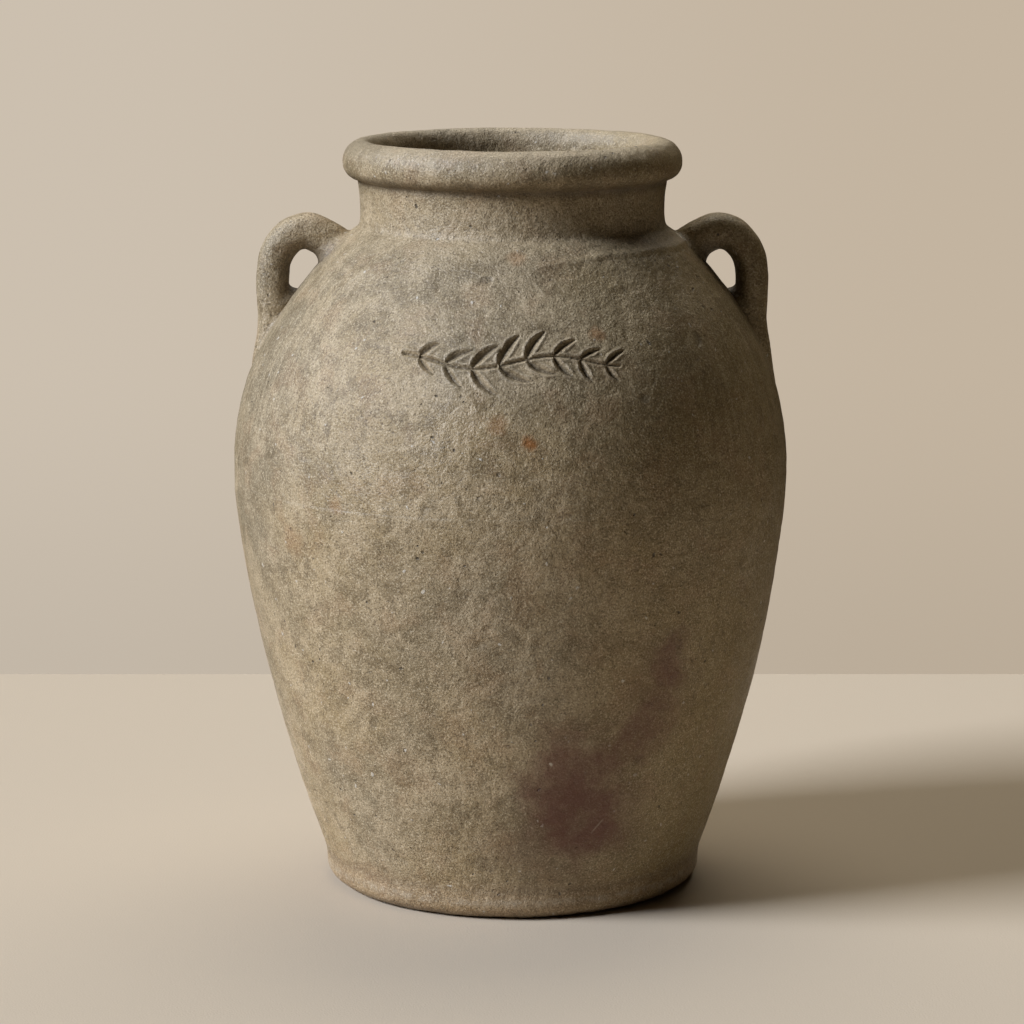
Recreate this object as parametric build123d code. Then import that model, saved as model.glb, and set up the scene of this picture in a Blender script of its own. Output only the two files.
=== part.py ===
from build123d import *

"""A two-handled stoneware storage jar, built as a potter builds it: formed sections luted together.

The jar stands on the XY plane with its axis on +Z, and its two loop handles lie along X.
Every formed section is one solid. The sections meet on bevelled, scored seams, face to face.
"""

import math
import os

# --- driving sizes, in millimetres ------------------------------------------------------------

FOOT_RADIUS = 101.3        # side of the upright foot band
FOOT_HEIGHT = 16.0         # height of the foot band, up to the crease where the wall springs
FOOT_EDGE = 9.0            # rounding of the bottom edge
FLOOR_THICKNESS = 12.0     # clay under the inside floor
FLOOR_CORNER = 12.0        # inside radius between floor and wall

BELLY_RADIUS = 149.0       # widest place of the jar
LOWER_RISE = 206.0         # from the foot crease up to the belly
SHOULDER_RISE = 111.0      # from the belly up to the shoulder's steepest place
SHOULDER_SPREAD = 23.7     # how far that place lies outside the neck
SHOULDER_LEAN = 0.82       # inward run for each millimetre of rise there
NECK_RISE = 34.0           # from there up to the narrowest place of the neck

NECK_RADIUS = 80.8         # outside of the neck at its narrowest
NECK_WALL = 8.3            # clay between the neck's outside and the mouth
COLLAR_RISE = 12.5         # from the narrowest place up to the crease under the rim
COLLAR_FLARE = 1.2         # how far the collar opens again below that crease

RIM_OVERHANG = 9.2         # how far the rolled rim stands out from the neck
ROLL_LOWER = 8.7           # crease up to the roll's widest place
ROLL_UPPER = 11.8          # widest place up to the crest
LIP_INNER = 6.5            # crest in to the mouth
LIP_DROP = 9.0             # crest down to where the mouth's wall is straight

WALL = 9.0                 # clay of the belly and shoulder
THROAT_DROP = 14.0         # straight mouth wall below the neck's narrowest place

BELLY_SEAM_TONGUE = 4.0    # height of the ridge that locks the belly seam
RIM_SEAM_SADDLE = 3.0      # height of the rounded seat under the rim coil
BASE_SEAM_RISE = 9.0       # how far the base seam climbs inwards
NECK_SEAM_BELOW = 23.0     # neck seam, below the neck's narrowest place
NECK_SEAM_SLOPE = 1.1      # drop of the neck seam for each millimetre inwards
SEAM_OVERRUN = 1.0         # how far a seam's cut runs on past the clay

HANDLE_THICKNESS = 16.9    # strap, measured away from the jar
HANDLE_WIDTH = 20.0        # strap, measured round the jar
HANDLE_ROOT_DEPTH = 28.0   # upper end of the strap's centre, inside the jar's outside
HANDLE_ROOT_DROP = 34.0    # that end, below the neck's narrowest place
HANDLE_SPRING = 25.5       # start of the strap's crown, outside the neck
HANDLE_ARCH = 13.8         # strap's crown, below the neck's narrowest place
HANDLE_CROWN = 10.0        # length of the crown
HANDLE_STANDOFF = 26.1     # upper end of the strap's outer side, off the shoulder
HANDLE_SIDE_DROP = 31.0    # that place, below the neck's narrowest place
HANDLE_WAIST_DEPTH = 0.9   # strap centre where it turns out along the shoulder, under its surface
HANDLE_WAIST_DROP = 65.0   # that place, below the neck's narrowest place
HANDLE_TAIL_DEPTH = 10.6   # lower end of the strap's centre, under the shoulder's surface
HANDLE_TAIL_DROP = 101.0   # that end, below the neck's narrowest place
HANDLE_BEND = 20.0         # largest bend radius of the strap's centre line
HANDLE_RUN_SHARE = 0.47    # most of a straight run that one bend may use up
HEIGHT_STEP = 1e-6         # how closely a height on the wall is found, as a share of its curve

COIL_SPREAD = 9.0          # how far the root coil stands out round the strap at the wall
COIL_WAIST = 2.4           # how far it stands out half way along
COIL_LIP = 0.5             # clay left at its thin upper edge
COIL_FOOT_PLACE = 0.28     # where the coil starts, as a share of the strap's first run
COIL_TOP_PLACE = 0.88      # where it has run out

# --- fullness of the wall's curves: each end's pull, as a share of the curve's rise --------------

FOOT_SPRING = 1.6          # how much flatter than its chord the wall leaves the foot
FOOT_PULL = 0.52
UNDER_BELLY_PULL = 0.075
OVER_BELLY_PULL = 0.545
CROWN_PULL = 0.26
THROAT_PULL = 1.12
NECK_PULL = 0.62
ROUND_PULL = 0.5523        # the pull that makes a Bezier curve a quarter of an ellipse

# --- sizes that follow ------------------------------------------------------------------------

BELLY_Z = FOOT_HEIGHT + LOWER_RISE
SHOULDER_Z = BELLY_Z + SHOULDER_RISE
NECK_Z = SHOULDER_Z + NECK_RISE
CREASE_Z = NECK_Z + COLLAR_RISE
ROLL_Z = CREASE_Z + ROLL_LOWER
CREST_Z = ROLL_Z + ROLL_UPPER

SHOULDER_RADIUS = NECK_RADIUS + SHOULDER_SPREAD
CREASE_RADIUS = NECK_RADIUS + COLLAR_FLARE
RIM_RADIUS = NECK_RADIUS + RIM_OVERHANG
MOUTH_RADIUS = NECK_RADIUS - NECK_WALL
CREST_RADIUS = MOUTH_RADIUS + LIP_INNER
BEYOND = 2 * BELLY_RADIUS  # a radius safely outside the jar, for seam regions


# --- the jar's section ------------------------------------------------------------------------

def ray(start, lean, length):
    """The point that lies this length from start, leaning by lean across for each one up."""
    run = math.hypot(1, lean)
    return (start[0] + lean * length / run, start[1] + length / run)


def quarter(start, end, leaves_level):
    """A quarter of an ellipse from start to end, leaving start level or upright."""
    dx, dz = end[0] - start[0], end[1] - start[1]
    if leaves_level:
        first = (start[0] + ROUND_PULL * dx, start[1])
        second = (end[0], end[1] - ROUND_PULL * dz)
    else:
        first = (start[0], start[1] + ROUND_PULL * dz)
        second = (end[0] - ROUND_PULL * dx, end[1])
    return Bezier(start, first, second, end)


def wall_line(foot, belly, shoulder, neck):
    """The smooth line of one face of the wall, from foot to neck, as three Bezier curves."""
    rise = belly[1] - foot[1]
    crown = shoulder[1] - belly[1]
    throat = neck[1] - shoulder[1]
    foot_lean = FOOT_SPRING * (belly[0] - foot[0]) / rise
    return [
        Bezier(foot, ray(foot, foot_lean, FOOT_PULL * rise),
               (belly[0], belly[1] - UNDER_BELLY_PULL * rise), belly),
        Bezier(belly, (belly[0], belly[1] + OVER_BELLY_PULL * crown),
               ray(shoulder, -SHOULDER_LEAN, -CROWN_PULL * crown), shoulder),
        Bezier(shoulder, ray(shoulder, -SHOULDER_LEAN, THROAT_PULL * throat),
               (neck[0], neck[1] - NECK_PULL * throat), neck),
    ]


def outer_wall_line():
    """The outside of the wall, from the foot crease to the narrowest place of the neck."""
    return wall_line((FOOT_RADIUS, FOOT_HEIGHT), (BELLY_RADIUS, BELLY_Z),
                     (SHOULDER_RADIUS, SHOULDER_Z), (NECK_RADIUS, NECK_Z))


def outer_face():
    """Half section of the jar as if it were solid, from the axis to its outside."""
    foot = (FOOT_RADIUS, FOOT_HEIGHT)
    neck = (NECK_RADIUS, NECK_Z)
    crease = (CREASE_RADIUS, CREASE_Z)
    widest = (RIM_RADIUS, ROLL_Z)
    crest = (CREST_RADIUS, CREST_Z)
    lines = [
        Line((0, 0), (FOOT_RADIUS - FOOT_EDGE, 0)),
        RadiusArc((FOOT_RADIUS - FOOT_EDGE, 0), (FOOT_RADIUS, FOOT_EDGE), -FOOT_EDGE),
        Line((FOOT_RADIUS, FOOT_EDGE), foot),
        *outer_wall_line(),
        Bezier(neck, (NECK_RADIUS, NECK_Z + COLLAR_RISE / 2),
               (CREASE_RADIUS, CREASE_Z - COLLAR_RISE / 3), crease),
        quarter(crease, widest, True),
        quarter(widest, crest, False),
        Line(crest, (0, CREST_Z)),
        Line((0, CREST_Z), (0, 0)),
    ]
    return Plane.XZ * make_face(Wire(lines))


def hollow_face():
    """Half section of the space inside the jar, up to the crest."""
    foot = (FOOT_RADIUS - WALL, FLOOR_THICKNESS)
    belly = (BELLY_RADIUS - WALL, BELLY_Z)
    slant = math.hypot(1, SHOULDER_LEAN)
    shoulder = (SHOULDER_RADIUS - WALL / slant, SHOULDER_Z - WALL * SHOULDER_LEAN / slant)
    throat = (MOUTH_RADIUS, NECK_Z - THROAT_DROP)
    mouth = (MOUTH_RADIUS, CREST_Z - LIP_DROP)
    crest = (CREST_RADIUS, CREST_Z)
    lines = [
        Line((0, FLOOR_THICKNESS), foot),
        *wall_line(foot, belly, shoulder, throat),
        Line(throat, mouth),
        quarter(mouth, crest, False),
        Line(crest, (0, CREST_Z)),
        Line((0, CREST_Z), (0, FLOOR_THICKNESS)),
    ]
    face = make_face(Wire(lines))
    corner = face.vertices().sort_by_distance((foot[0], foot[1], 0))[0]
    return Plane.XZ * fillet(corner, FLOOR_CORNER)


# --- the thrown sections ----------------------------------------------------------------------

def below(seam):
    """The region under a seam line, whose points run from outside to inside."""
    outer, inner = seam[0], seam[-1]
    path = [(0, -BEYOND), (BEYOND, -BEYOND), (BEYOND, outer[1]), *seam, (0, inner[1])]
    return Plane.XZ * make_face(Polyline(*path, close=True))


def base_seam():
    """Climbs inwards from the foot crease, so that the wall sits down over the base."""
    inner = FOOT_RADIUS - WALL
    return [(FOOT_RADIUS + SEAM_OVERRUN, FOOT_HEIGHT), (FOOT_RADIUS, FOOT_HEIGHT),
            (inner, FOOT_HEIGHT + BASE_SEAM_RISE), (inner - WALL, FOOT_HEIGHT + BASE_SEAM_RISE)]


def belly_seam():
    """A ridge along the middle of the wall, which keeps the two halves in line."""
    middle, inner = BELLY_RADIUS - WALL / 2, BELLY_RADIUS - WALL
    return [(BELLY_RADIUS + SEAM_OVERRUN, BELLY_Z), (BELLY_RADIUS, BELLY_Z),
            (middle, BELLY_Z + BELLY_SEAM_TONGUE), (inner, BELLY_Z), (inner - WALL, BELLY_Z)]


def neck_seam():
    """A bevel that falls inwards, square to the shoulder, where the neck ring is luted on."""
    middle = NECK_Z - NECK_SEAM_BELOW
    outer, inner = SHOULDER_RADIUS, SHOULDER_RADIUS - 3 * WALL
    return [(outer, middle + NECK_SEAM_SLOPE * WALL), (inner, middle - 2 * NECK_SEAM_SLOPE * WALL)]


def rim_seam():
    """A rounded saddle along the top of the collar, in which the rim coil is bedded."""
    middle = (CREASE_RADIUS + MOUTH_RADIUS) / 2
    return [(CREASE_RADIUS + SEAM_OVERRUN, CREASE_Z), (CREASE_RADIUS, CREASE_Z),
            (middle, CREASE_Z + RIM_SEAM_SADDLE), (MOUTH_RADIUS, CREASE_Z),
            (MOUTH_RADIUS - SEAM_OVERRUN, CREASE_Z)]


def thrown_sections():
    """The jar cut at its seams into turned rings, from the base to the rim coil."""
    section = outer_face() - hollow_face()
    solids = {}
    cuts = {"base": base_seam(), "lower_wall": belly_seam(),
            "shoulder_wall": neck_seam(), "neck_collar": rim_seam()}
    for name, seam in cuts.items():
        region = below(seam)
        solids[name] = revolve(section & region, Axis.Z)
        section = section - region
    solids["rim_coil"] = revolve(section, Axis.Z)
    return solids


# --- the handles ------------------------------------------------------------------------------

def jar_radius(z):
    """The jar's outside radius at a height between its foot crease and its neck."""
    line = next(line for line in outer_wall_line() if (line @ 1).Y >= z)
    low, high = 0.0, 1.0
    while high - low > HEIGHT_STEP:
        middle = (low + high) / 2
        low, high = (middle, high) if (line @ middle).Y < z else (low, middle)
    return (line @ low).X


def strap_corners(side):
    """The corners of the strap's centre line, from its root at the neck to its tail."""
    root_z = NECK_Z - HANDLE_ROOT_DROP
    crown_z = NECK_Z - HANDLE_ARCH
    side_z = NECK_Z - HANDLE_SIDE_DROP
    waist_z = NECK_Z - HANDLE_WAIST_DROP
    tail_z = NECK_Z - HANDLE_TAIL_DROP
    crown = NECK_RADIUS + HANDLE_SPRING
    corners = [
        (jar_radius(root_z) - HANDLE_ROOT_DEPTH, root_z),
        (crown, crown_z),
        (crown + HANDLE_CROWN, crown_z),
        (jar_radius(side_z) + HANDLE_STANDOFF, side_z),
        (jar_radius(waist_z) - HANDLE_WAIST_DEPTH, waist_z),
        (jar_radius(tail_z) - HANDLE_TAIL_DEPTH, tail_z),
    ]
    return [Vector(side * x, 0, z) for x, z in corners]


def bend_radius(before, corner, after):
    """The strap's bend radius at a corner: the largest that the runs beside it leave room for."""
    arriving, leaving = corner - before, after - corner
    half_turn = math.radians(arriving.get_angle(leaving)) / 2
    shorter = min(arriving.length, leaving.length)
    return min(HANDLE_BEND, HANDLE_RUN_SHARE * shorter / math.tan(half_turn))


def strap(side):
    """The whole strap of one handle, its two ends running on into the wall."""
    corners = strap_corners(side)
    bends = [bend_radius(*corners[i - 1:i + 2]) for i in range(1, len(corners) - 1)]
    path = FilletPolyline(*corners, radius=bends)
    start = Plane(path @ 0, x_dir=(0, 1, 0), z_dir=path % 0)
    return sweep(start * Ellipse(HANDLE_WIDTH / 2, HANDLE_THICKNESS / 2), path)


def root_coil(side):
    """The coil of clay pressed and smoothed round a strap's root, thin at both its edges."""
    root, crown = strap_corners(side)[:2]
    run = crown - root
    middle_place = (COIL_FOOT_PLACE + COIL_TOP_PLACE) / 2
    rings = [(COIL_FOOT_PLACE, COIL_SPREAD), (middle_place, COIL_WAIST), (COIL_TOP_PLACE, COIL_LIP)]
    sections = []
    for share, margin in rings:
        place = Plane(root + run * share, x_dir=(0, 1, 0), z_dir=run)
        sections.append(place * Ellipse(HANDLE_WIDTH / 2 + margin, HANDLE_THICKNESS / 2 + margin))
    return loft(sections)


# --- the whole jar ----------------------------------------------------------------------------

os.makedirs("parts", exist_ok=True)
pieces = thrown_sections()
body = revolve(outer_face(), Axis.Z)
for name, side in [("left", -1), ("right", +1)]:
    pieces["handle_" + name] = strap(side) - body
    pieces["root_coil_" + name] = root_coil(side) - strap(side) - body

for name, piece in pieces.items():
    export_step(piece, f"parts/{name}.step")
    print(name, round(piece.volume), piece.bounding_box().size)
print("height", CREST_Z, "mouth radius", MOUTH_RADIUS)
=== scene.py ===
"""The looks of a two-handled stoneware jar: thrown rings, pulled handles and fired, stained clay.

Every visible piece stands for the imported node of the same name. The thrown rings follow the
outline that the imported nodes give, and their hand-worked unevenness stays inside the packed
jar's largest sizes. Lengths are in metres, +Z is up, and the jar's face looks along -Y.
"""

import math
from collections import defaultdict

import bpy
import mathutils
import numpy as np
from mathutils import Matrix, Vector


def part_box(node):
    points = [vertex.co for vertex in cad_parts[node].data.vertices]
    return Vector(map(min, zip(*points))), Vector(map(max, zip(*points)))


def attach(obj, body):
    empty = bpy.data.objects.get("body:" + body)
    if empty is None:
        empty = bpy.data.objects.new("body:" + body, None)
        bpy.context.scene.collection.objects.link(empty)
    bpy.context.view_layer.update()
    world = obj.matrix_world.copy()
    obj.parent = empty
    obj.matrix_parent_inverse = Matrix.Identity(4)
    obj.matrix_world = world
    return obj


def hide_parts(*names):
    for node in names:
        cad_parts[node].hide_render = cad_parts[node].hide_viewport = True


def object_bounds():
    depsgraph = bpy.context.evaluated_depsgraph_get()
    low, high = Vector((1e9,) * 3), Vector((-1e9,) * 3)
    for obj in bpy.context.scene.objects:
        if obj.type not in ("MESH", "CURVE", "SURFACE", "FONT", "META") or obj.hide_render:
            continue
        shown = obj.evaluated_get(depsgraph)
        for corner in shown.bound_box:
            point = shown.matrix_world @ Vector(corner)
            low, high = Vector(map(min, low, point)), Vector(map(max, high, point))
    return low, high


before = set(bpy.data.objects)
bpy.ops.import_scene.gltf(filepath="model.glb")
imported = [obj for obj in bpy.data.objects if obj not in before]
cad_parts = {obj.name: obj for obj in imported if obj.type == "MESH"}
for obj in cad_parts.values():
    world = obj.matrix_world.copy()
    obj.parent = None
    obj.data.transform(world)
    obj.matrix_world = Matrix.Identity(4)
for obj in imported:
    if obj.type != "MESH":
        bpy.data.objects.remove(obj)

MM = 0.001
cad_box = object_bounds()

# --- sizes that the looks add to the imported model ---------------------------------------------

RING_NODES = ["base", "lower_wall", "shoulder_wall", "neck_collar", "rim_coil"]
OUTLINE_STEP = 0.25 * MM      # spacing of the outline before it is cut into rows
FOOT_CREASE_SOFT = 6 * MM     # how far each side of the foot crease is smoothed
RIM_CREASE_SOFT = 2.4 * MM    # the same under the rolled rim
CORNER_TURN = 0.2             # a turn of the outline, in radians, that counts as a corner
TOUCHING = 0.001 * MM         # points nearer to each other than this are one point

FACE_ROW = 0.62 * MM          # rows where the sprig is cut
SKIN_ROW = 1.6 * MM           # rows on the rest of the outside
FOOT_ROW = 1.0 * MM
NECK_ROW = 1.0 * MM
RIM_ROW = 0.8 * MM
NEAR_ROW = 1.5 * MM           # rows inside the mouth, where the eye still reaches
DEEP_ROW = 6 * MM             # rows on the inside below that
SEAM_ROW = 3 * MM             # rows on the hidden faces of the seams
FACE_ANGLE = math.radians(33) # half of the angle round the axis that has the fine columns
FACE_COLUMNS = 240
COLUMNS = 534                 # round the whole jar, the fine ones among them

# the potter's hand: how many swings there are to a metre, and how far they go in all
WOBBLE = (8, 0.9 * MM)
LUMPS = (42, 0.7 * MM)
DENTS = (130, 0.5 * MM)
RIM_WAVES = (26, 1.1 * MM)
THROWING_RINGS = ((4.0, 4.0, 85.0), 0.5 * MM)  # across, ahead and up
ALL_ROUND = -0.1 * MM         # the whole skin goes in by this
RIM_WAVES_FROM, RIM_WAVES_FULL = 381 * MM, 389 * MM
LEAN = (0.5 * MM, -1.7 * MM)  # the belly leans: this much more clay on the left, and less on the right
LEAN_SIDE = 140 * MM          # how far from the axis it has all of that
LEAN_LOWEST, LEAN_LOW, LEAN_HIGH, LEAN_HIGHEST = 100 * MM, 230 * MM, 250 * MM, 330 * MM
FOOT_CHIPS = (60, 0.9 * MM)
FOOT_CHIPS_FROM, FOOT_CHIPS_FULL = 12 * MM, 1 * MM
RIDGE_HEIGHT = 341.1 * MM     # the neck's sloping ridge at x = 0; it shows only to the right of there
RIDGE_SLOPE = 0.115
RIDGE_LEVEL = 50 * MM         # it runs level from here on
RIDGE_HALF_WIDTH = 2.6 * MM
RIDGE_RISE = 0.75 * MM
RIDGE_FROM, RIDGE_FULL = 4 * MM, 18 * MM
FACE_DEPTH = -20 * MM         # marks on the face fade out behind this

SPRIG_BELOW_NECK = 57 * MM    # middle of the sprig, below the neck seam, along the wall
SPRIG_ROOM = 20 * MM          # the fine rows reach this far above and below its middle
SPRIG_LENGTH = 112 * MM
SPRIG_WAVE = 3.4 * MM
LEAF_PAIRS = 8
LEAF_LENGTH = 18.5 * MM
LEAF_HALF_WIDTH = 2.4 * MM
LEAF_ANGLE = math.radians(40)
LEAF_BOW = 1.5 * MM           # how far a leaf's cut bends aside
LEAF_SPREAD = 0.86            # share of the stem that has leaves
WAVE_TURN = 9.0               # angle of the stem's wave over its length, in radians
STEM_HALF_WIDTH = 1.5 * MM
STROKE_STEP = 0.5 * MM
STROKE_FRAY = (330, 0.5 * MM) # how the cuts' edges wander
NARROWEST_STROKE = 0.05 * MM
CUT_LEAST = 0.3 * MM          # added to a cut's half width before its depth is worked out
CUT_DEPTH = 0.85              # a cut's depth, for each length of that sum
LIP_RISE = 0.5 * MM           # clay pushed up beside a cut
LIP_AWAY = 0.7 * MM           # its crest, beyond the cut's edge
LIP_REACH = 1.1 * MM          # how far it goes each side of that
LIP_FROM, LIP_FULL = 0.6 * MM, 1.2 * MM  # half widths of the strokes that push it up

# the right strap's middle, from root to tail: how far inside its outer edge, how far under its top
STRAP_LINE = [(75.4 * MM, 41.0 * MM), (59.4 * MM, 28.6 * MM), (47.4 * MM, 19.2 * MM), (38.4 * MM, 13.4 * MM),
              (30.2 * MM, 10.4 * MM), (22.8 * MM, 12.2 * MM), (17.4 * MM, 17.0 * MM), (13.3 * MM, 24.6 * MM),
              (11.9 * MM, 34.2 * MM), (12.0 * MM, 46.6 * MM), (12.2 * MM, 58.6 * MM), (9.4 * MM, 74.0 * MM),
              (5.0 * MM, 96.0 * MM)]
STRAP_STEP = 0.5 * MM
STRAP_HALF_THICK = [9.9 * MM, 9.7 * MM, 8.7 * MM, 8.5 * MM, 7.2 * MM]
STRAP_THICK_AT = [0, 0.2, 0.45, 0.7, 1]  # shares of the way from root to tail
STRAP_HALF_WIDE = [10.6 * MM, 10.2 * MM, 10.0 * MM, 10.2 * MM, 11.2 * MM]
STRAP_WIDE_AT = [0, 0.2, 0.5, 0.8, 1]
TAIL_FROM, TAIL_FULL = 0.5, 0.7    # where on that way the tail is thumbed down
EYE_FROM, EYE_FULL = 0.45, 0.5     # and where the eye may close
STRAP_LUMPS = (55, 1.1 * MM)
STRAP_DENTS = (160, 0.5 * MM)
STRAP_SQUARENESS = 2.5        # 2 is an ellipse
STRAP_COLUMNS = 96
STRAP_ROW = 0.8 * MM
STRAP_BURIED = 9 * MM         # how deep the strap's middle goes into the wall at its ends
STRAP_DEEPEST = 5 * MM        # no part of a strap lies deeper in the wall than this
ROOT_FILLET = 8.5 * MM        # radius of the coil smoothed between strap and neck
TAIL_FILLET = 4.5 * MM        # radius of the thumbed edge along the strap's tail
TOP_FILLET_SHARE = 0.4        # share of the coil's radius on top of the strap
NO_FILLET = 0.01 * MM         # as good as none
EYE_WEB = 5.0 * MM            # the bottom of the handle's eye rounds off where it is narrower than this
EYE_SHUT = 3.1 * MM           # and is shut where it is narrower than this
EYE_FILLING = 1.25            # how far the web goes where the eye is shut, for each length of the gap
SPARE = 0.02 * MM             # what the worked clay keeps from the jar's largest sizes
SUNK = 1.5 * MM               # the smoothed edges run out this far under the jar's skin
COIL_BURIED = 22 * MM         # how deep the line goes where the coil's rows begin
COIL_REACH = 42 * MM          # length of line that the coil wraps, from there
COIL_ROW = 0.5 * MM
COIL_EDGE = 0.2 * MM          # the coil's top edge sinks this far into the strap
COIL_UNDER = 2.5 * MM         # and its hidden inner face lies this far in
COIL_DIVES_FROM, COIL_DIVES_FULL = 0.6, 0.95  # where along the coil its edge sinks

SHARP_ANGLE = math.radians(38)

BODY_KHAKI = (0.38, 0.28, 0.148, 1.0)
BODY_GREY = (0.275, 0.218, 0.134, 1.0)
BODY_SAND = (0.565, 0.445, 0.285, 1.0)
BODY_DARK = (0.15, 0.106, 0.051, 1.0)
BODY_RED = (0.36, 0.225, 0.12, 1.0)
# olive tone laid over the jar's right side as painted shade
OLIVE_SHADE_TONE = (0.265, 0.19, 0.07, 1.0)
SAND_LIGHT = (0.78, 0.655, 0.46, 1.0)
SAND_DARK = (0.11, 0.078, 0.042, 1.0)
# near black, the painted shade in the pits and pocks
PIT = (0.05, 0.038, 0.025, 1.0)
GROG = (0.68, 0.62, 0.52, 1.0)
# painted shade: the dark tone laid in the creases, the cuts, the mouth, at the foot's bottom edge, on the
# handles' inner faces and beside their roots
PAINTED_SHADE = (0.075, 0.055, 0.035, 1.0)
# worn clay on the lip and in the scratch, and a painted highlight along the foot's edge and on the raised
# clay beside the cuts
WEAR_AND_HIGHLIGHT = (0.46, 0.39, 0.29, 1.0)
RUST = (0.36, 0.14, 0.035, 1.0)
WINE = (0.12, 0.022, 0.014, 1.0)
WINE_HALO = (0.19, 0.11, 0.06, 1.0)

# patches: how many to a metre, detail, roughness, where they begin and are full, least and most
DRIFT = (11, 3, 0.5, 0.35, 0.65)
MOTTLE = (40, 4, 0.62, 0.4, 0.62)
BLOTCH = (88, 4, 0.65, 0.46, 0.64)
FLUSH = (55, 3, 0.5, 0.5, 0.68)
PIT_CLUSTERS = (24, 2, 0.5, 0.4, 0.62, 0.0, 0.35)
STAIN_PATCHES = (60, 5, 0.65, 0.3, 0.62, 0.45, 1.0)
SATIN = (16, 3, 0.5, 0.4, 0.7)

# slopes: from here to there, and what they give at each end where that isn't 0 and 1
# the painted shade on the right side: across, and up, where it is stronger low down
RIGHT_SHADE_ACROSS, RIGHT_SHADE_UP = (-10 * MM, 110 * MM), (250 * MM, 50 * MM, 0.5, 0.8)
RED_FOOT = (25 * MM, 12 * MM, 0.0, 0.4)
SANDY_NECK, SANDY_NECK_TOP = (340 * MM, 352 * MM), (378 * MM, 370 * MM, 0.0, 0.3)
BRUSHED_ASIDE = (55 * MM, 100 * MM)
BRUSHED_LOW, BRUSHED_HIGH = (230 * MM, 270 * MM), (345 * MM, 330 * MM)
OUTSIDE = (75.5 * MM, 78.5 * MM)
# where the painted shade inside the mouth sets in: across, and down
INSIDE, INSIDE_DOWN = (76.5 * MM, 73.5 * MM), (390 * MM, 330 * MM)
WORN_LIP = (389 * MM, 398 * MM)
FACE_ONLY = (FACE_DEPTH, 0.0, 1.0, 0.0)

RIM_CREASE = 379.5 * MM
FOOT_CREASE = 16.5 * MM
# height of the painted highlight, with some wear, where the foot rounds under
FOOT_HIGHLIGHT_AND_WEAR_LEVEL = 10 * MM
SHADE_AND_WEAR_UNEVEN = (70, 3 * MM)
STAIN_DEPTH = 60 * MM         # the wine's blots reach this far ahead and behind
STAIN_WANDERS = 60 * MM
HALO_SIZE = 1.35              # a blot's halo, for each size of the blot

FRAYED_BY = 3 * MM            # how far the fraying moves a mark each way, on average
# across, up, reach, strength: lengths in millimetres
RUST_SPOTS = [(8.6, 260, 3.4, 0.8), (43, 311, 3.6, 0.35), (1.7, 347, 4.5, 0.3), (-89.5, 224, 4.0, 0.22),
              (-7.3, 269, 4.5, 0.3), (-112, 201, 7.0, 0.18)]
# painted shade beside each handle's root, a little to the front
ARMPIT = (93 * MM, -9 * MM, 337 * MM)
ARMPIT_REACH = (10 * MM, 14 * MM, 9 * MM)
# across, up, half length, lean
SCRATCH = (44 * MM, 53 * MM, 6 * MM, math.radians(50))
# across, up, (half width, half height), strength
WINE_BLOTS = [(36, 72, (21, 26), 1.0), (38, 47, (15, 15), 1.0), (22, 87, (14, 12), 0.85),
              (44, 92, (17, 11), 0.85), (65, 99, (14, 14), 0.8), (73, 118, (10, 10), 0.65),
              (80, 141, (10, 13), 0.8)]
WINE_HALOS = [(16, 44, (28, 20)), (52, 60, (18, 24)), (72, 128, (20, 30))]
WHITE_SPECKS = [(20, 89.4, 0.9), (13, 57.5, 0.9), (18, 390.6, 1.0), (21, 389.5, 0.8)]

# the floor ends here round the jar, and the wall's tone takes over beyond it
FLOOR_BEHIND = 0.488
FLOOR_AHEAD = 0.9
FLOOR_LEFT = 1.3
FLOOR_RIGHT = 0.9
FLOOR_PAINT = (0.62, 0.525, 0.405, 1.0)
# the wall tones, painted darker to the right as falling-off light
WALL_LEFT = (0.604, 0.525, 0.43, 1.0)
WALL_RIGHT = (0.546, 0.456, 0.352, 1.0)
WALL_LOW = (0.9, 0.9, 0.9, 1.0)  # painted shade: the wall darkens by this down by the floor
WALL_TURNS = (-0.13, 0.13)    # directions across between which the left tone turns to the darker right one, a painted falloff of the light
WALL_DARKENS = (-0.23, -0.13, 1.0, 0.0)  # and directions up, from where the low tone is full
ROOM_LIGHT = (1.0, 0.8, 0.55, 1.0)
ROOM_LIGHT_STRENGTH = 0.01
LAMPS = [{"name": "window", "place": (-9.0, -3.12, 6.1), "aim": (0.0, 0.0, 0.2), "size": (4.2, 3.6),
          "power": 1650.0, "colour": (0.93, 0.99, 1.11)},
         {"name": "ceiling", "place": (0.2, 0.9, 2.0), "aim": (0.3, 0.0, 0.0), "size": (1.6, 1.6),
          "power": 20.0, "colour": (1.0, 0.93, 0.8)}]
CAMERA_PLACE = (-0.0002, -1.9825, 0.556)
CAMERA_DOWN = math.radians(10.2)
CAMERA_LENS = 131.4


# --- wiring node trees ------------------------------------------------------------------------

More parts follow.
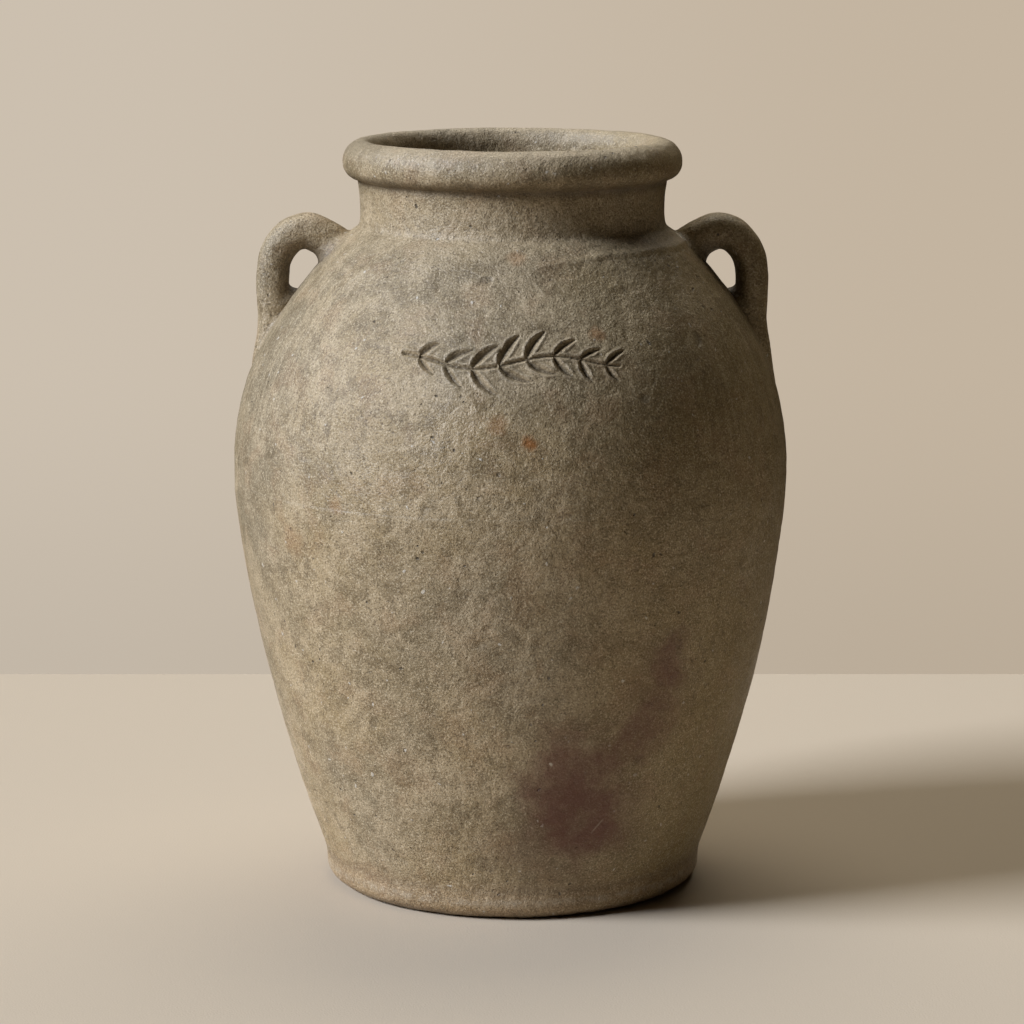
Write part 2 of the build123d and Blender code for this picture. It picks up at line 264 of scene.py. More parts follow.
class Net:
    """A node tree that is being wired. Inputs are given by name or number, as values or sockets."""

    def __init__(self, tree):
        self.tree = tree

    def add(self, kind, inputs=None, **settings):
        node = self.tree.nodes.new(kind)
        for key, value in settings.items():
            setattr(node, key, value)
        for key, value in (inputs or {}).items():
            self.feed(node.inputs[key], value)
        return node

    def feed(self, socket, value):
        if isinstance(value, bpy.types.NodeSocket):
            self.tree.links.new(value, socket)
        else:
            socket.default_value = value

    def math(self, operation, *values, clamp=False):
        node = self.add("ShaderNodeMath", dict(enumerate(values)), operation=operation, use_clamp=clamp)
        return node.outputs[0]

    def vector(self, operation, *values):
        node = self.add("ShaderNodeVectorMath", dict(enumerate(values)), operation=operation)
        return node.outputs["Value" if operation in ("DOT_PRODUCT", "LENGTH", "DISTANCE") else "Vector"]

    def times(self, vector, number):
        """The vector scaled by a number."""
        node = self.add("ShaderNodeVectorMath", {0: vector, "Scale": number}, operation="SCALE")
        return node.outputs["Vector"]

    def ramp(self, value, low, high, to_low=0.0, to_high=1.0, smooth=True):
        """The value carried from one range to another, held at its ends."""
        node = self.add("ShaderNodeMapRange", {"Value": value, "From Min": low, "From Max": high,
                                               "To Min": to_low, "To Max": to_high},
                        interpolation_type="SMOOTHSTEP" if smooth else "LINEAR")
        return node.outputs["Result"]

    def noise(self, place, scale, detail=2.0, roughness=0.5):
        node = self.add("ShaderNodeTexNoise", {"Vector": place, "Scale": scale, "Detail": detail,
                                               "Roughness": roughness})
        return node.outputs[0]

    def patches(self, place, scale, detail, roughness, begin, full, least=0.0, most=1.0):
        """Patches of noise: the least where its value is at begin, the most where it is at full."""
        return self.ramp(self.noise(place, scale, detail, roughness), begin, full, least, most)

    def strewn(self, place, scale, detail, roughness=0.5):
        """Noise as a vector, with its own noise in each of the three parts."""
        node = self.add("ShaderNodeTexNoise", {"Vector": place, "Scale": scale, "Detail": detail,
                                               "Roughness": roughness})
        return node.outputs["Color"]

    def swing(self, place, scale, size, **more):
        """Noise as a length, from about half the size below zero to half of it above."""
        return self.math("MULTIPLY", self.math("SUBTRACT", self.noise(place, scale, **more), 0.5), size)

    def total(self, *values):
        result = values[0]
        for value in values[1:]:
            result = self.math("ADD", result, value)
        return result


def geometry_tree(name, inputs):
    """A new geometry node tree with named inputs, given as (name, kind of socket)."""
    tree = bpy.data.node_groups.new(name, "GeometryNodeTree")
    tree.interface.new_socket("Geometry", in_out="INPUT", socket_type="NodeSocketGeometry")
    tree.interface.new_socket("Geometry", in_out="OUTPUT", socket_type="NodeSocketGeometry")
    for label, kind in inputs:
        tree.interface.new_socket(label, in_out="INPUT", socket_type="NodeSocket" + kind)
    return tree


def grown(name, tree, mesh, inputs):
    """The plain mesh that the tree makes from a mesh, as a new object of that name."""
    seed = bpy.data.objects.new(name + "_seed", mesh)
    bpy.context.collection.objects.link(seed)
    modifier = seed.modifiers.new("shape", "NODES")
    modifier.node_group = tree
    for item in tree.interface.items_tree:
        if item.in_out == "INPUT" and item.name in inputs:
            modifier[item.identifier] = inputs[item.name]
    ready = seed.evaluated_get(bpy.context.evaluated_depsgraph_get())
    plain = bpy.data.meshes.new_from_object(ready)
    bpy.data.objects.remove(seed)
    piece = bpy.data.objects.new(name, plain)
    bpy.context.collection.objects.link(piece)
    return piece


def point_mesh(name, points, **attributes):
    """A mesh of loose points, in order, with a value of each attribute for every point."""
    mesh = bpy.data.meshes.new(name)
    mesh.from_pydata([tuple(map(float, p)) for p in points], [], [])
    for label, values in attributes.items():
        values = np.asarray(values, dtype=np.float32)
        kind = "FLOAT_VECTOR" if values.ndim == 2 else "FLOAT"
        layer = mesh.attributes.new(label, kind, "POINT")
        layer.data.foreach_set("vector" if values.ndim == 2 else "value", values.ravel())
    return mesh


# --- the jar's outline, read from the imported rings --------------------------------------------

def section_chain(node):
    """A ring's section as a chain of (radius, height) points, read where it crosses +X."""
    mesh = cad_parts[node].data
    spots = {v.index: (round(v.co.x, 6), round(v.co.z, 6)) for v in mesh.vertices
             if abs(v.co.y) < 1e-6 and v.co.x > 0}
    links = defaultdict(set)
    for edge in mesh.edges:
        a, b = (spots.get(i) for i in edge.vertices)
        if a and b and a != b:
            links[a].add(b)
            links[b].add(a)
    ends = [p for p in links if len(links[p]) == 1]
    chain = [min(ends, key=lambda p: p[1]) if ends else min(links)]
    while True:
        ahead = [p for p in links[chain[-1]] if p not in chain]
        if not ahead:
            return chain
        chain.append(ahead[0])


def both_ways(chain, start, end):
    """The two parts of a chain from start to end, one each way round."""
    i, j = chain.index(start), chain.index(end)
    n = len(chain)
    return ([chain[(i + k) % n] for k in range((j - i) % n + 1)],
            [chain[(i - k) % n] for k in range((i - j) % n + 1)])


def stretch(chain, start, end, shut):
    """The part of a chain from start to end, either way round, that passes no shut point."""
    forward, backward = both_ways(chain, start, end)
    return backward if shut & set(forward) - {start, end} else forward


def jar_outline():
    """The jar's whole outline, under the foot, up the outside, over the rim and down the inside.

    Returns the points, and for each ring the points where its outer and inner faces meet
    the ring above and the ring below.
    """
    chains = {node: section_chain(node) for node in RING_NODES}
    joints = []
    for lower, upper in zip(RING_NODES, RING_NODES[1:]):
        shared = set(chains[lower]) & set(chains[upper])
        joints.append((max(shared), min(shared)))
    shut = {p for pair in joints for p in pair}
    base, rim = chains["base"], chains["rim_coil"]
    outside = stretch(base, base[0], joints[0][0], shut)
    inside = stretch(base, joints[0][1], base[-1], shut)
    for node, below, above in zip(RING_NODES[1:-1], joints, joints[1:]):
        outside += stretch(chains[node], below[0], above[0], shut)[1:]
        inside = stretch(chains[node], above[1], below[1], shut)[:-1] + inside
    over = stretch(rim, joints[-1][0], joints[-1][1], shut)
    line = [(0.0, outside[0][1])] + outside + over[1:-1] + inside + [(0.0, inside[-1][1])]
    return np.array(line), joints, chains


def hermite(points, step):
    """A smooth line through the points, resampled at about this step."""
    if len(points) < 3:
        count = max(2, round(np.linalg.norm(points[-1] - points[0]) / step) + 1)
        return points[0] + (points[-1] - points[0]) * np.linspace(0, 1, count)[:, None]
    chord = np.linalg.norm(np.diff(points, axis=0), axis=1)
    at = np.concatenate([[0], np.cumsum(chord)])
    slope = np.diff(points, axis=0) / chord[:, None]
    tangent = np.empty_like(points)
    before, after = chord[:-1, None], chord[1:, None]
    tangent[1:-1] = (slope[:-1] * after + slope[1:] * before) / (before + after)
    tangent[0] = 2 * slope[0] - tangent[1]
    tangent[-1] = 2 * slope[-1] - tangent[-2]
    s = np.linspace(0, at[-1], max(2, round(at[-1] / step) + 1))
    i = np.clip(np.searchsorted(at, s, side="right") - 1, 0, len(chord) - 1)
    h = chord[i][:, None]
    t = ((s - at[i]) / chord[i])[:, None]
    return (points[i] * (2 * t**3 - 3 * t**2 + 1) + tangent[i] * h * (t**3 - 2 * t**2 + t)
            + points[i + 1] * (3 * t**2 - 2 * t**3) + tangent[i + 1] * h * (t**3 - t**2))


def smooth_outline(line):
    """The outline as a dense smooth line that keeps its corners."""
    way = np.diff(line, axis=0)
    heading = np.unwrap(np.arctan2(way[:, 1], way[:, 0]))
    corners = [0, *(1 + np.flatnonzero(abs(np.diff(heading)) > CORNER_TURN)), len(line) - 1]
    runs = [hermite(line[a:b + 1], OUTLINE_STEP) for a, b in zip(corners, corners[1:])]
    return np.vstack([runs[0]] + [run[1:] for run in runs[1:]])


def soften(line, corner, reach):
    """Rounds the line's corner nearest to this point, over this reach each way."""
    along = arc_length(line)
    middle = along[np.argmin(np.linalg.norm(line - corner, axis=1))]
    tip = line[np.argmin(abs(along - middle))].copy()
    near = np.flatnonzero(abs(along - middle) < reach)
    start, end = line[near[0]].copy(), line[near[-1]].copy()
    t = np.linspace(0, 1, len(near))[:, None]
    line[near] = (1 - t)**2 * start + 2 * t * (1 - t) * tip + t**2 * end


def arc_length(line):
    return np.concatenate([[0], np.cumsum(np.linalg.norm(np.diff(line, axis=0), axis=1))])


class Outline:
    """The smooth outline with its arc length, outward direction and the joints between rings."""

    def __init__(self):
        line, self.joints, self.chains = jar_outline()
        self.line = smooth_outline(line)
        soften(self.line, self.joints[0][0], FOOT_CREASE_SOFT)
        soften(self.line, self.joints[-1][0], RIM_CREASE_SOFT)
        self.along = arc_length(self.line)
        way = np.gradient(self.line, axis=0)
        way /= np.linalg.norm(way, axis=1)[:, None]
        self.out = np.column_stack([way[:, 1], -way[:, 0]])
        self.crest = self.along[np.argmax(self.line[:, 1])]

    def place(self, joint):
        """Where a joint lies along the outline. The outline was softened, so the nearest place."""
        return self.along[np.argmin(np.linalg.norm(self.line - joint, axis=1))]

    def at(self, s):
        """Points and outward directions at these places along the outline."""
        point = np.column_stack([np.interp(s, self.along, self.line[:, k]) for k in (0, 1)])
        out = np.column_stack([np.interp(s, self.along, self.out[:, k]) for k in (0, 1)])
        return point, out / np.linalg.norm(out, axis=1)[:, None]


# --- the incised sprig ------------------------------------------------------------------------

def sprig_tree():
    """A waved stem with pairs of leaf cuts along it, flat, as lines that know their half width."""
    tree = geometry_tree("sprig", [("Length", "Float"), ("Pairs", "Int"), ("Leaf Length", "Float"),
                                   ("Leaf Half Width", "Float"), ("Stem Half Width", "Float"),
                                   ("Wave", "Float"), ("Leaf Angle", "Float"), ("Step", "Float")])
    net = Net(tree)
    given = net.add("NodeGroupInput").outputs
    index = net.add("GeometryNodeInputIndex").outputs[0]

    def line(count, length, from_middle):
        step = net.math("DIVIDE", length, net.math("SUBTRACT", count, 1.0))
        offset = net.add("ShaderNodeCombineXYZ", {"X": step}).outputs[0]
        start = net.math("MULTIPLY", length, -0.5 if from_middle else 0.0)
        begin = net.add("ShaderNodeCombineXYZ", {"X": start}).outputs[0]
        return net.add("GeometryNodeMeshLine", {"Count": count, "Start Location": begin,
                                                "Offset": offset}, mode="OFFSET").outputs[0]

    def waved(shape):
        place = net.add("ShaderNodeSeparateXYZ", {0: net.add("GeometryNodeInputPosition").outputs[0]})
        share = net.math("DIVIDE", place.outputs[0], given["Length"])
        swing = net.math("MULTIPLY", net.math("SINE", net.math("MULTIPLY", share, WAVE_TURN)), given["Wave"])
        lift = net.add("ShaderNodeCombineXYZ", {"Y": swing}).outputs[0]
        return net.add("GeometryNodeSetPosition", {"Geometry": shape, "Offset": lift}).outputs[0], share

    stem_count = net.math("DIVIDE", given["Length"], given["Step"])
    stem, share = waved(line(stem_count, given["Length"], True))
    taper = net.ramp(share, -0.5, 0.5, 1.0, 0.55, smooth=False)
    stem = kept(net, stem, "half_width", net.math("MULTIPLY", given["Stem Half Width"], taper))
    stem = kept(net, stem, "size", 1.0)

    leaf_count = net.math("DIVIDE", given["Leaf Length"], given["Step"])
    leaf = line(leaf_count, given["Leaf Length"], False)
    run = net.math("DIVIDE", index, net.math("SUBTRACT", leaf_count, 1.0))
    bow = net.math("MULTIPLY", net.math("SINE", net.math("MULTIPLY", run, math.pi)), LEAF_BOW)
    leaf = net.add("GeometryNodeSetPosition", {"Geometry": leaf, "Offset": net.add(
        "ShaderNodeCombineXYZ", {"Y": bow}).outputs[0]}).outputs[0]
    belly = net.math("SINE", net.math("MULTIPLY", net.math("POWER", run, 0.8), math.pi))
    belly = net.math("POWER", belly, 0.8)
    leaf = kept(net, leaf, "half_width", net.math("MULTIPLY", given["Leaf Half Width"], belly))

    bundle = net.add("GeometryNodeJoinGeometry")
    net.tree.links.new(stem, bundle.inputs[0])
    for side, seed in ((1.0, 3), (-1.0, 8)):
        spread = net.math("MULTIPLY", given["Length"], LEAF_SPREAD)
        spots, share = waved(line(given["Pairs"], spread, True))
        chance = net.add("FunctionNodeRandomValue", {2: -1.0, 3: 1.0, "ID": index, "Seed": seed},
                         data_type="FLOAT").outputs[1]
        size = net.ramp(net.math("ABSOLUTE", net.math("SUBTRACT", share, -0.08)), 0.0, 0.5, 1.08, 0.68)
        size = net.math("ADD", size, net.math("MULTIPLY", chance, 0.06))
        tilt = net.math("ADD", given["Leaf Angle"], net.math("MULTIPLY", chance, 0.09))
        tilt = net.math("MULTIPLY", tilt, side)
        slope = net.math("MULTIPLY", net.math("COSINE", net.math("MULTIPLY", share, WAVE_TURN)),
                         net.math("DIVIDE", net.math("MULTIPLY", given["Wave"], WAVE_TURN), given["Length"]))
        turn = net.add("ShaderNodeCombineXYZ", {"Z": net.math("ADD", tilt, slope)}).outputs[0]
        scale = net.add("ShaderNodeCombineXYZ", {"X": size, "Y": net.math("MULTIPLY", size, side),
                                                 "Z": size}).outputs[0]
        spots = kept(net, spots, "size", size)
        leaves = net.add("GeometryNodeInstanceOnPoints", {"Points": spots, "Instance": leaf,
                                                          "Rotation": turn, "Scale": scale})
        net.tree.links.new(leaves.outputs[0], bundle.inputs[0])
    whole = net.add("GeometryNodeRealizeInstances", {"Geometry": bundle.outputs[0]}).outputs[0]
    width = net.math("MULTIPLY", named(net, "half_width"), named(net, "size"))
    whole = kept(net, whole, "half_width", width)
    net.add("NodeGroupOutput", {0: net.add("GeometryNodeSetMaterial", {"Geometry": whole}).outputs[0]})
    return tree


def named(net, label, kind="FLOAT"):
    """The value of a stored attribute."""
    return net.add("GeometryNodeInputNamedAttribute", {"Name": label}, data_type=kind).outputs[0]


def sampled(net, shape, value, index, kind="FLOAT"):
    """A value read from the point of that number on another shape."""
    return net.add("GeometryNodeSampleIndex", {"Geometry": shape, "Value": value, "Index": index},
                   data_type=kind, domain="POINT").outputs[0]


# --- thrown rings -----------------------------------------------------------------------------

def turned_section(net, given):
    """The section turned round the axis, with finer columns on the jar's face than elsewhere."""
    rows, columns, face = given["Rows"], given["Columns"], given["Face Columns"]
    index = net.add("GeometryNodeInputIndex").outputs[0]
    row = net.math("MODULO", index, rows)
    column = net.math("FLOOR", net.math("DIVIDE", index, rows))
    grid = net.add("GeometryNodeMeshGrid", {"Vertices X": net.math("ADD", columns, 1.0),
                                            "Vertices Y": rows}).outputs[0]

    double = net.math("MULTIPLY", given["Face Angle"], 2.0)
    face_turn = net.math("MULTIPLY", net.math("MINIMUM", column, face), net.math("DIVIDE", double, face))
    step = net.math("DIVIDE", net.math("SUBTRACT", 2 * math.pi, double), net.math("SUBTRACT", columns, face))
    beyond = net.math("MAXIMUM", net.math("SUBTRACT", column, face), 0.0)
    turn = net.math("SUBTRACT", net.math("ADD", face_turn, net.math("MULTIPLY", beyond, step)),
                    given["Face Angle"])

    section = net.add("GeometryNodeInputPosition").outputs[0]
    spot = net.add("ShaderNodeSeparateXYZ", {0: sampled(net, given[0], section, row, "FLOAT_VECTOR")})
    out = sampled(net, given[0], named(net, "out", "FLOAT_VECTOR"), row, "FLOAT_VECTOR")
    way = net.add("ShaderNodeSeparateXYZ", {0: out})
    across, ahead = net.math("SINE", turn), net.math("MULTIPLY", net.math("COSINE", turn), -1.0)

    def turned(part):
        return net.add("ShaderNodeCombineXYZ", {"X": net.math("MULTIPLY", part.outputs[0], across),
                                                "Y": net.math("MULTIPLY", part.outputs[0], ahead),
                                                "Z": part.outputs[2]}).outputs[0]

    skin = sampled(net, given[0], named(net, "skin"), row)
    along = sampled(net, given[0], named(net, "along"), row)
    shape = net.add("GeometryNodeSetPosition", {"Geometry": grid, "Position": turned(spot)}).outputs[0]
    shape = kept(net, shape, "out_way", turned(way), "FLOAT_VECTOR")
    shape = kept(net, shape, "skin_share", skin)
    shape = kept(net, shape, "sprig_across", net.math("MULTIPLY", turn, spot.outputs[0]))
    shape = kept(net, shape, "sprig_up", net.math("SUBTRACT", along, given["Sprig Middle"]))
    return net.add("GeometryNodeMergeByDistance", {"Geometry": shape, "Distance": TOUCHING}).outputs[0]


def sprig_cut(net, lines, place):
    """How far into a stroke of the sprig a point lies, the stroke's half width, and the clay beside it."""
    sprig = net.add("GeometryNodeObjectInfo", {"Object": lines}).outputs["Geometry"]
    flat = net.add("ShaderNodeCombineXYZ", {"X": named(net, "sprig_across"),
                                            "Y": named(net, "sprig_up")}).outputs[0]
    apart = net.add("GeometryNodeProximity", {0: sprig, 2: flat}, target_element="EDGES").outputs["Distance"]
    nearest = net.add("GeometryNodeSampleNearest", {"Geometry": sprig, "Sample Position": flat}).outputs[0]
    half = sampled(net, sprig, named(net, "half_width"), nearest)
    apart = net.math("ADD", apart, net.swing(place, *STROKE_FRAY, detail=2))
    fall = net.math("DIVIDE", net.math("MAXIMUM", apart, 0.0), net.math("MAXIMUM", half, NARROWEST_STROKE))
    cut = net.math("SUBTRACT", 1.0, fall, clamp=True)
    beside = net.math("ABSOLUTE", net.math("SUBTRACT", net.math("SUBTRACT", apart, half), LIP_AWAY))
    lip = net.ramp(beside, 0.0, LIP_REACH, LIP_RISE, 0.0)
    lip = net.math("MULTIPLY", lip, net.ramp(half, LIP_FROM, LIP_FULL))
    return cut, half, net.math("MULTIPLY", lip, net.math("SUBTRACT", 1.0, cut))


def hand_work(net, place):
    """What the potter's hand and the wheel leave on the skin, as lengths outwards."""
    x, y, z = net.add("ShaderNodeSeparateXYZ", {0: place}).outputs
    belly = net.math("MULTIPLY", net.ramp(z, LEAN_LOWEST, LEAN_LOW), net.ramp(z, LEAN_HIGHEST, LEAN_HIGH))
    leaning = net.math("MULTIPLY", net.ramp(x, -LEAN_SIDE, LEAN_SIDE, *LEAN, smooth=False), belly)
    stretch_by, ring_size = THROWING_RINGS
    rings = net.swing(net.vector("MULTIPLY", place, stretch_by), 1.0, ring_size, detail=1)
    rim = net.math("MULTIPLY", net.ramp(z, RIM_WAVES_FROM, RIM_WAVES_FULL),
                   net.swing(place, *RIM_WAVES, detail=2))

    rise = net.math("MULTIPLY", net.math("MINIMUM", x, RIDGE_LEVEL), RIDGE_SLOPE)
    gap = net.math("ABSOLUTE", net.math("SUBTRACT", z, net.math("ADD", rise, RIDGE_HEIGHT)))
    ridge = net.math("MULTIPLY", net.ramp(gap, 0.0, RIDGE_HALF_WIDTH, RIDGE_RISE, 0.0),
                     net.ramp(x, RIDGE_FROM, RIDGE_FULL))
    ridge = net.math("MULTIPLY", ridge, net.ramp(y, FACE_DEPTH, 0.0, 1.0, 0.0))

    chips, chip_size = FOOT_CHIPS
    foot = net.math("MULTIPLY", net.ramp(z, FOOT_CHIPS_FROM, FOOT_CHIPS_FULL, 0.0, -1.0),
                    net.math("MULTIPLY", net.noise(place, chips), chip_size))
    return (net.swing(place, *WOBBLE), leaning, rings, net.swing(place, *LUMPS, detail=3),
            net.swing(place, *DENTS, detail=2), rim, ridge, foot, ALL_ROUND)


def room_left(net, place, widest, tallest):
    """How far a point may go out before it leaves the jar's largest sizes."""
    radius = net.vector("LENGTH", net.vector("MULTIPLY", place, (1.0, 1.0, 0.0)))
    z = net.add("ShaderNodeSeparateXYZ", {0: place}).outputs[2]
    spare = net.math("MINIMUM", z, net.math("SUBTRACT", tallest, z))
    return net.math("MINIMUM", spare, net.math("SUBTRACT", widest, radius))


def thrown_ring_tree():
    """Turns a section, given as rows of points, round the jar's axis, and works its skin."""
    tree = geometry_tree("thrown_ring", [("Rows", "Int"), ("Columns", "Int"), ("Face Columns", "Int"),
                                         ("Face Angle", "Float"), ("Sprig", "Object"),
                                         ("Sprig Middle", "Float"), ("Widest", "Float"),
                                         ("Tallest", "Float"), ("Clay", "Material")])
    net = Net(tree)
    given = net.add("NodeGroupInput").outputs
    shape = turned_section(net, given)
    place = net.add("GeometryNodeInputPosition").outputs[0]
    cut, half, lip = sprig_cut(net, given["Sprig"], place)
    depth = net.math("MULTIPLY", net.math("MULTIPLY", cut, net.math("ADD", half, CUT_LEAST)), CUT_DEPTH)

    worked = net.total(*hand_work(net, place), lip)
    worked = net.math("SUBTRACT", worked, depth)
    worked = net.math("MINIMUM", worked, room_left(net, place, given["Widest"], given["Tallest"]))
    worked = net.math("MULTIPLY", worked, named(net, "skin_share"))
    move = net.times(named(net, "out_way", "FLOAT_VECTOR"), worked)
    # where the sprig's cuts lie, kept for the painted shade in them
    shape = kept(net, shape, "groove", net.math("MULTIPLY", cut, net.ramp(half, 0.2 * MM, 0.8 * MM)))
    # the raised clay beside the cuts, kept for its painted highlight
    shape = kept(net, shape, "lip", net.math("DIVIDE", lip, LIP_RISE))
    shape = net.add("GeometryNodeSetPosition", {"Geometry": shape, "Offset": move}).outputs[0]
    finish_tree(net, shape, given["Clay"], ("out_way", "skin_share", "sprig_across", "sprig_up"))
    return tree


def kept(net, shape, label, value, kind="FLOAT"):
    """The shape with a value stored on its points."""
    return net.add("GeometryNodeStoreNamedAttribute", {"Geometry": shape, "Name": label, "Value": value},
                   data_type=kind, domain="POINT").outputs[0]


def finish_tree(net, shape, clay, scratch):
    """Smooth shading, no working values left, real geometry and the clay's material."""
    for label in scratch:
        shape = net.add("GeometryNodeRemoveAttribute", {"Geometry": shape, "Name": label}).outputs[0]
    shape = net.add("GeometryNodeSetShadeSmooth", {"Geometry": shape}).outputs[0]
    shape = net.add("GeometryNodeRealizeInstances", {"Geometry": shape}).outputs[0]
    shape = net.add("GeometryNodeSetMaterial", {"Geometry": shape, "Material": clay}).outputs[0]
    net.add("NodeGroupOutput", {0: shape})


def evenly(start, end, step):
    """Places from start up to, and without, the end, at about this step."""
    count = max(2, round(abs(end - start) / step))
    return list(start + (end - start) * np.arange(count) / count)


def ring_rows(number):
    """The rows of one ring's section: places along the outline, and points on its hidden seams."""
    name = RING_NODES[number]
    chain = outline.chains[name]
    end = outline.along[-1]
    below = outline.joints[number - 1] if number else None
    above = outline.joints[number] if number < len(outline.joints) else None
    outer_low = outline.place(below[0]) if below else 0.0
    outer_high = outline.place(above[0]) if above else None
    inner_low = outline.place(below[1]) if below else end
    inner_high = outline.place(above[1]) if above else None

    if name == "base":
        foot = outline.place(chain[0])
        up = evenly(0.0, foot, DEEP_ROW) + evenly(foot, outer_high, FOOT_ROW)
    elif name == "rim_coil":
        up = evenly(outer_low, inner_low, RIM_ROW) + [inner_low]
    elif name == "shoulder_wall":
        low, high = sprig_middle - SPRIG_ROOM, sprig_middle + SPRIG_ROOM
        up = (evenly(outer_low, low, SKIN_ROW) + evenly(low, high, FACE_ROW)
              + evenly(high, outer_high, NECK_ROW))
    else:
        up = evenly(outer_low, outer_high, NECK_ROW if name == "neck_collar" else SKIN_ROW)
    down = []
    if above:
        up.append(outer_high)
        down = evenly(inner_high, inner_low, NEAR_ROW if name == "neck_collar" else DEEP_ROW) + [inner_low]

    points, outs, skins, alongs = [], [], [], []

    def skin_rows(places):
        point, out = outline.at(np.array(places))
        points.extend((p[0], 0.0, p[1]) for p in point)
        outs.extend((o[0], 0.0, o[1]) for o in out)
        skins.extend([1.0] * len(places))
        alongs.extend(places)

    def seam_rows(start, finish):
        seam = seam_between(chain, start, finish)
        line = hermite(np.array(seam), SEAM_ROW)[1:-1]
        points.extend((p[0], 0.0, p[1]) for p in line)
        outs.extend([(0.0, 0.0, 0.0)] * len(line))
        skins.extend([0.0] * len(line))
        alongs.extend([0.0] * len(line))

    skin_rows(up)
    if above:
        seam_rows(above[0], above[1])
    if down:
        skin_rows(down)
    if below:
        seam_rows(below[1], below[0])
        for values in (points, outs, skins, alongs):
            values.append(values[0])
    return points, outs, skins, alongs


def seam_between(chain, start, finish):
    """The hidden seam line of a ring from one of its joints' ends to the other: the shorter way."""
    return min(both_ways(chain, start, finish), key=lambda way: arc_length(np.array(way))[-1])


def thrown_ring(number, tree, sprig, clay):
    points, outs, skins, alongs = ring_rows(number)
    name = RING_NODES[number]
    seed = point_mesh(name + "_section", points, out=outs, skin=skins, along=alongs)
    return grown(name + "_clay", tree, seed, {
        "Rows": len(points), "Columns": COLUMNS, "Face Columns": FACE_COLUMNS,
        "Face Angle": FACE_ANGLE, "Sprig": sprig, "Sprig Middle": float(sprig_middle),
        "Widest": cad_box[1][0] - SPARE, "Tallest": cad_box[1][2] - SPARE, "Clay": clay})


# --- pulled handles and the coils round their roots -------------------------------------------

